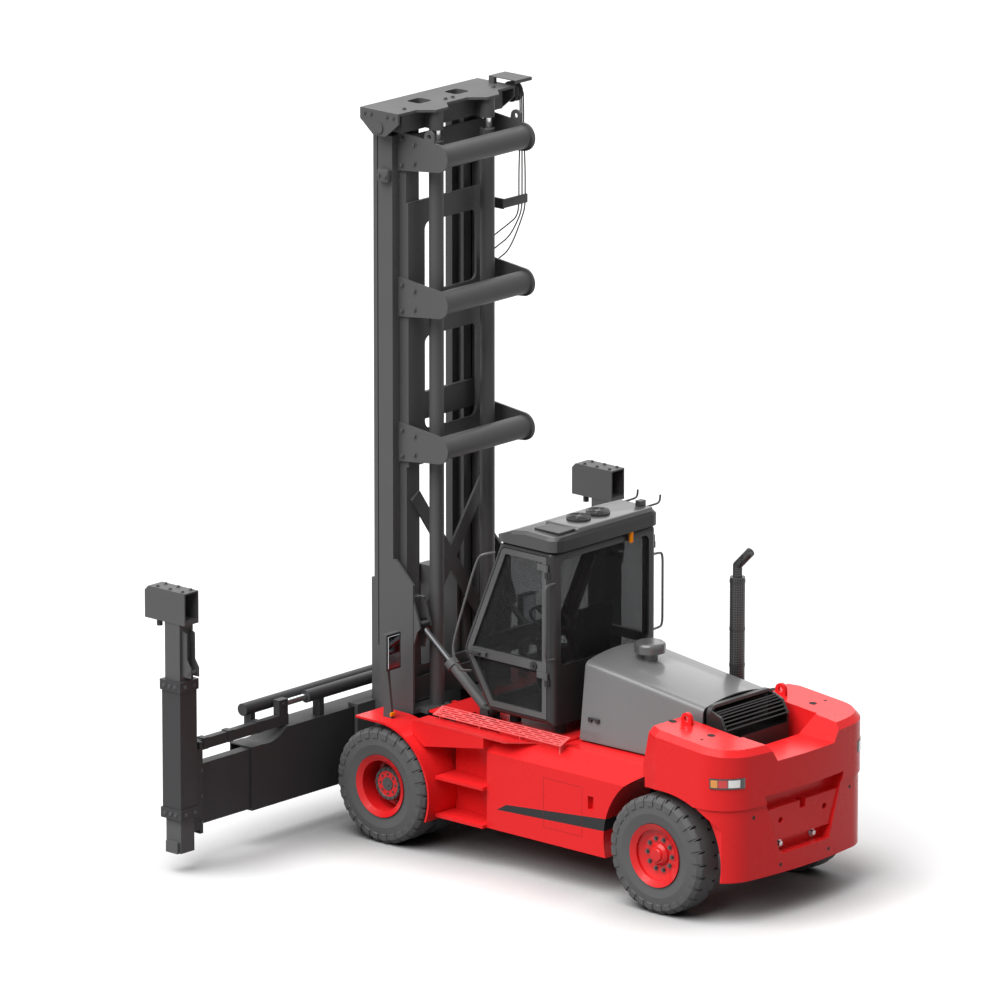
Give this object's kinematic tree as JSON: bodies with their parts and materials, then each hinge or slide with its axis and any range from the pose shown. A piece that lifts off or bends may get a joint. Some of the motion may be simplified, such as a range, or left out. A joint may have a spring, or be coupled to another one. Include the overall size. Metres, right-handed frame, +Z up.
{
  "type": "empty container handler",
  "caption": "Counterbalanced lift truck with a duplex mast and a telescopic side spreader that grips empty freight containers by their upper corner castings.",
  "frame": {"origin": "on the ground, under the middle of the machine's bounding box", "axes": "+X forward to the spreader, +Y to the driver's left, +Z up"},
  "size_m": [5.48, 6.232, 7.07],
  "materials": {
    "body_red": "glossy",
    "rim_red": "semi-gloss",
    "mast_grey": "satin",
    "cab_grey": "glossy",
    "frame_black": "satin",
    "tyre_rubber": "matt",
    "mount_rubber": "matt",
    "glass": "clear",
    "black_plastic": "matt",
    "lamp_amber": "clear",
    "lamp_red": "clear",
    "rod_chrome": "polished",
    "seat_cloth": "woven",
    "engine_iron": "cast"
  },
  "bodies": {
    "chassis": {"chassis_frame": "frame_black", "drive_axle": "frame_black", "steer_axle": "frame_black", "side_tanks": "body_red", "deck_plate": "body_red", "fenders": "body_red", "counterweight": "body_red", "tail_lamps": "lamp_red", "engine_bulkhead": "frame_black", "engine_block": "engine_iron", "rear_grille": "black_plastic", "exhaust_stack": "black_plastic", "cab_mounts": "mount_rubber", "cab_shell": "cab_grey", "cab_glass": "glass", "cab_roof": "cab_grey", "roof_fittings": "black_plastic", "amber_lamp": "lamp_amber", "operator_seat": "seat_cloth", "steering_console": "black_plastic", "mirrors": "mast_grey"},
    "hood": {"hood": "cab_grey", "air_precleaner": "black_plastic"},
    "outer_mast": {"outer_mast_frame": "mast_grey", "cross_tubes": "mast_grey", "lift_barrels": "mast_grey"},
    "inner_mast": {"inner_mast_frame": "mast_grey", "crosshead": "mast_grey", "lift_rods": "rod_chrome"},
    "tilt_barrels": {"tilt_barrels": "mast_grey"},
    "tilt_rods": {"tilt_rods": "rod_chrome"},
    "carriage": {"carriage": "mast_grey"},
    "spreader": {"spreader_beam": "mast_grey", "spread_barrels": "mast_grey"},
    "front_wheel_left": {"front_tyres_left": "tyre_rubber", "front_rims_left": "rim_red"},
    "knuckle_left": {"knuckle_left": "frame_black"},
    "rear_wheel_left": {"rear_tyre_left": "tyre_rubber", "rear_rim_left": "rim_red"},
    "door_left": {"door_left": "cab_grey", "door_glass_left": "glass"},
    "arm_left": {"spreader_arm_left": "mast_grey", "lock_post_left": "mast_grey", "spread_rod_left": "rod_chrome"},
    "front_wheel_right": {"front_tyres_right": "tyre_rubber", "front_rims_right": "rim_red"},
    "knuckle_right": {"knuckle_right": "frame_black"},
    "rear_wheel_right": {"rear_tyre_right": "tyre_rubber", "rear_rim_right": "rim_red"},
    "door_right": {"door_right": "cab_grey", "door_glass_right": "glass"},
    "arm_right": {"spreader_arm_right": "mast_grey", "lock_post_right": "mast_grey", "spread_rod_right": "rod_chrome"}
  },
  "joints": [
    {"name": "front_wheel_left_spin", "type": "hinge", "parent": "chassis", "child": "front_wheel_left", "pos_m": [1.61, 0.945, 0.56], "axis": [0, 1, 0], "continuous": true},
    {"name": "front_wheel_right_spin", "type": "hinge", "parent": "chassis", "child": "front_wheel_right", "pos_m": [1.61, -0.945, 0.56], "axis": [0, 1, 0], "continuous": true},
    {"name": "steer_left", "type": "hinge", "parent": "chassis", "child": "knuckle_left", "pos_m": [-1.8, 0.65, 0.56], "axis": [0, 0, 1], "range_deg": [-55, 55]},
    {"name": "steer_right", "type": "hinge", "parent": "chassis", "child": "knuckle_right", "pos_m": [-1.8, -0.65, 0.56], "axis": [0, 0, 1], "range_deg": [-55, 55]},
    {"name": "rear_wheel_left_spin", "type": "hinge", "parent": "knuckle_left", "child": "rear_wheel_left", "pos_m": [-1.8, 0.915, 0.56], "axis": [0, 1, 0], "continuous": true},
    {"name": "rear_wheel_right_spin", "type": "hinge", "parent": "knuckle_right", "child": "rear_wheel_right", "pos_m": [-1.8, -0.915, 0.56], "axis": [0, 1, 0], "continuous": true},
    {"name": "mast_tilt", "type": "hinge", "parent": "chassis", "child": "outer_mast", "pos_m": [1.85, 0, 0.64], "axis": [0, 1, 0], "range_deg": [-5, 3]},
    {"name": "tilt_barrel_swing", "type": "hinge", "parent": "chassis", "child": "tilt_barrels", "pos_m": [0.66, 0, 1.37], "axis": [0, 1, 0], "range_deg": [-2.9, 1.75]},
    {"name": "tilt_rod_slide", "type": "slide", "parent": "tilt_barrels", "child": "tilt_rods", "axis": [0.7844, 0, 0.6202], "range_m": [-0.116, 0.07]},
    {"name": "mast_lift", "type": "slide", "parent": "outer_mast", "child": "inner_mast", "axis": [0, 0, 1], "range_m": [0, 4.4]},
    {"name": "carriage_lift", "type": "slide", "parent": "inner_mast", "child": "carriage", "axis": [0, 0, 1], "range_m": [0, 4.4]},
    {"name": "side_shift", "type": "slide", "parent": "carriage", "child": "spreader", "axis": [0, 1, 0], "range_m": [-0.3, 0.3]},
    {"name": "arm_left_spread", "type": "slide", "parent": "spreader", "child": "arm_left", "axis": [0, 1, 0], "range_m": [0, 3.066]},
    {"name": "arm_right_spread", "type": "slide", "parent": "spreader", "child": "arm_right", "axis": [0, -1, 0], "range_m": [0, 3.066]},
    {"name": "door_left_swing", "type": "hinge", "parent": "chassis", "child": "door_left", "pos_m": [-0.185, 0.752, 2.2], "axis": [0, 0, 1], "range_deg": [0, 80]},
    {"name": "door_right_swing", "type": "hinge", "parent": "chassis", "child": "door_right", "pos_m": [-0.185, -0.752, 2.2], "axis": [0, 0, -1], "range_deg": [0, 80]},
    {"name": "hood_lift", "type": "hinge", "parent": "chassis", "child": "hood", "pos_m": [-0.402, 0, 2], "axis": [0, 1, 0], "range_deg": [0, 45]}
  ],
  "couplings": [
    {"joint": "steer_right", "follows": "steer_left", "ratio": 1},
    {"joint": "tilt_barrel_swing", "follows": "mast_tilt", "ratio": 0.565},
    {"joint": "tilt_rod_slide", "follows": "mast_tilt", "m_per_rad": 1.315},
    {"joint": "carriage_lift", "follows": "mast_lift", "ratio": 1},
    {"joint": "arm_right_spread", "follows": "arm_left_spread", "ratio": 1}
  ]
}
